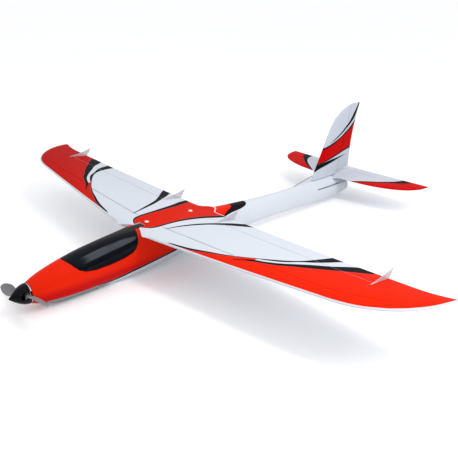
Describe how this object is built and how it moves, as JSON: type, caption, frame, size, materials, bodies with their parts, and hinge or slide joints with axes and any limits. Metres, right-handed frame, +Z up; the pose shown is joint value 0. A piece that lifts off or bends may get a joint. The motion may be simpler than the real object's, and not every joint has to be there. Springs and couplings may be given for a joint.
{
  "type": "radio-controlled sailplane",
  "caption": "Electric radio-controlled sailplane with a folding nose propeller, lift-off canopy, one-piece wing and working ailerons, elevator and rudder.",
  "frame": {"origin": "middle of the bounding box in plan, on the surface that the belly rests on", "axes": "+X towards the left wing tip, -Y along the fuselage towards the nose, +Z up"},
  "size_m": [1.1, 0.93, 0.2315],
  "materials": {
    "fuselage_foam": "painted moulded foam, satin",
    "belly_skid": "bare grey plastic",
    "canopy": "gloss black",
    "wing_foam": "painted moulded foam, satin",
    "aileron_foam": "painted moulded foam, satin",
    "tail_foam": "painted moulded foam, satin",
    "fences": "thin frosted plastic sheet",
    "spinner": "gloss black",
    "blades": "grey filled nylon",
    "alloy": "machined",
    "steel": "bright drawn",
    "black_plastic": "moulded",
    "servo_case": "translucent blue case",
    "plywood": "birch plywood, bare",
    "battery_wrap": "heat-shrink wrap",
    "strap": "woven hook-and-loop band",
    "sleeve": "plain extruded tube",
    "nylon": "moulded nylon",
    "carbon": "pultruded carbon tube, bare"
  },
  "bodies": {
    "airframe": {"fuselage_left_shell": "fuselage_foam", "fuselage_right_shell": "fuselage_foam", "belly_skid": "belly_skid", "firewall": "plywood", "motor_stator": "steel", "motor_screw_upper": "steel", "motor_screw_lower": "steel", "speed_controller": "black_plastic", "battery_tray": "plywood", "battery": "battery_wrap", "battery_strap": "strap", "receiver": "black_plastic", "servo_tray": "plywood", "elevator_servo": "servo_case", "rudder_servo": "servo_case", "elevator_pushrod_tube": "sleeve", "rudder_pushrod_tube": "sleeve", "wing_seat": "plywood", "wing_bolt_front": "nylon", "wing_bolt_rear": "nylon", "wing": "wing_foam", "wing_spar_left": "carbon", "wing_spar_right": "carbon", "aileron_servo_left": "servo_case", "aileron_servo_right": "servo_case", "left_inner_fence": "fences", "left_outer_fence": "fences", "right_inner_fence": "fences", "right_outer_fence": "fences", "fin": "tail_foam", "stabiliser": "tail_foam"},
    "canopy": {"canopy_hatch": "canopy"},
    "propeller": {"spinner_cone": "spinner", "spinner_backplate": "alloy", "blade_yoke": "black_plastic", "blade_pin_left": "steel", "blade_pin_right": "steel", "motor_shaft": "steel", "motor_bell": "alloy"},
    "blade_left": {"prop_blade_left": "blades"},
    "blade_right": {"prop_blade_right": "blades"},
    "left_aileron": {"aileron_left": "aileron_foam", "aileron_horn_left": "black_plastic"},
    "right_aileron": {"aileron_right": "aileron_foam", "aileron_horn_right": "black_plastic"},
    "left_aileron_arm": {"aileron_arm_left": "black_plastic"},
    "right_aileron_arm": {"aileron_arm_right": "black_plastic"},
    "left_aileron_rod": {"aileron_pushrod_left": "steel"},
    "right_aileron_rod": {"aileron_pushrod_right": "steel"},
    "elevator_surface": {"elevator": "tail_foam", "elevator_horn": "black_plastic"},
    "elevator_crank": {"elevator_arm": "black_plastic"},
    "elevator_rod": {"elevator_pushrod": "steel"},
    "rudder_surface": {"rudder": "tail_foam", "rudder_horn": "black_plastic"},
    "rudder_crank": {"rudder_arm": "black_plastic"},
    "rudder_rod": {"rudder_pushrod": "steel"}
  },
  "joints": [
    {"name": "canopy_lift", "type": "slide", "parent": "airframe", "child": "canopy", "axis": [0, 0, 1], "range_m": [0, 0.08]},
    {"name": "propeller_spin", "type": "hinge", "parent": "airframe", "child": "propeller", "pos_m": [0, -0.44, 0.035], "axis": [0, 1, 0], "continuous": true},
    {"name": "blade_left_fold", "type": "hinge", "parent": "propeller", "child": "blade_left", "pos_m": [0.01261, -0.4375, 0.03814], "axis": [-0.2419, 0, 0.9703], "range_deg": [0, 50]},
    {"name": "blade_right_fold", "type": "hinge", "parent": "propeller", "child": "blade_right", "pos_m": [-0.01261, -0.4375, 0.03186], "axis": [0.2419, 0, -0.9703], "range_deg": [0, 50]},
    {"name": "left_aileron_hinge", "type": "hinge", "parent": "airframe", "child": "left_aileron", "pos_m": [0.0855, -0.082, 0.08981], "axis": [0.9984, -0.0323, 0.0472], "range_deg": [-18, 18]},
    {"name": "right_aileron_hinge", "type": "hinge", "parent": "airframe", "child": "right_aileron", "pos_m": [-0.0855, -0.082, 0.08981], "axis": [0.9984, 0.0323, -0.0472], "range_deg": [-18, 18]},
    {"name": "elevator_hinge", "type": "hinge", "parent": "airframe", "child": "elevator_surface", "pos_m": [0, 0.428, 0.0625], "axis": [1, 0, 0], "range_deg": [-18, 18]},
    {"name": "rudder_hinge", "type": "hinge", "parent": "airframe", "child": "rudder_surface", "pos_m": [0, 0.378, 0.075], "axis": [0, 0.2607, 0.9654], "range_deg": [-22, 22]},
    {"name": "left_aileron_arm_turn", "type": "hinge", "parent": "airframe", "child": "left_aileron_arm", "pos_m": [0.2182, -0.129, 0.09143], "axis": [1, 0, 0], "range_deg": [-25.2, 25.2]},
    {"name": "left_aileron_rod_slide", "type": "slide", "parent": "airframe", "child": "left_aileron_rod", "axis": [0, 1, 0], "range_m": [-0.0044, 0.0044]},
    {"name": "right_aileron_arm_turn", "type": "hinge", "parent": "airframe", "child": "right_aileron_arm", "pos_m": [-0.2182, -0.129, 0.09143], "axis": [1, 0, 0], "range_deg": [-25.2, 25.2]},
    {"name": "right_aileron_rod_slide", "type": "slide", "parent": "airframe", "child": "right_aileron_rod", "axis": [0, 1, 0], "range_m": [-0.0044, 0.0044]},
    {"name": "elevator_crank_turn", "type": "hinge", "parent": "airframe", "child": "elevator_crank", "pos_m": [0.0135, -0.165, 0.051], "axis": [0, 0, 1], "range_deg": [-37.9, 37.9]},
    {"name": "elevator_rod_slide", "type": "slide", "parent": "airframe", "child": "elevator_rod", "axis": [0, 1, 0], "range_m": [-0.0063, 0.0063]},
    {"name": "rudder_crank_turn", "type": "hinge", "parent": "airframe", "child": "rudder_crank", "pos_m": [-0.0135, -0.165, 0.051], "axis": [0, 0, 1], "range_deg": [-28, 28]},
    {"name": "rudder_rod_slide", "type": "slide", "parent": "airframe", "child": "rudder_rod", "axis": [0, 1, 0], "range_m": [-0.0047, 0.0047]}
  ],
  "couplings": [
    {"joint": "left_aileron_arm_turn", "follows": "left_aileron_hinge", "ratio": 1.4},
    {"joint": "left_aileron_rod_slide", "follows": "left_aileron_hinge", "m_per_rad": 0.014},
    {"joint": "right_aileron_arm_turn", "follows": "right_aileron_hinge", "ratio": 1.4},
    {"joint": "right_aileron_rod_slide", "follows": "right_aileron_hinge", "m_per_rad": 0.014},
    {"joint": "elevator_crank_turn", "follows": "elevator_hinge", "ratio": -2.105},
    {"joint": "elevator_rod_slide", "follows": "elevator_hinge", "m_per_rad": 0.02},
    {"joint": "rudder_crank_turn", "follows": "rudder_hinge", "ratio": -1.27},
    {"joint": "rudder_rod_slide", "follows": "rudder_hinge", "m_per_rad": -0.01207}
  ]
}
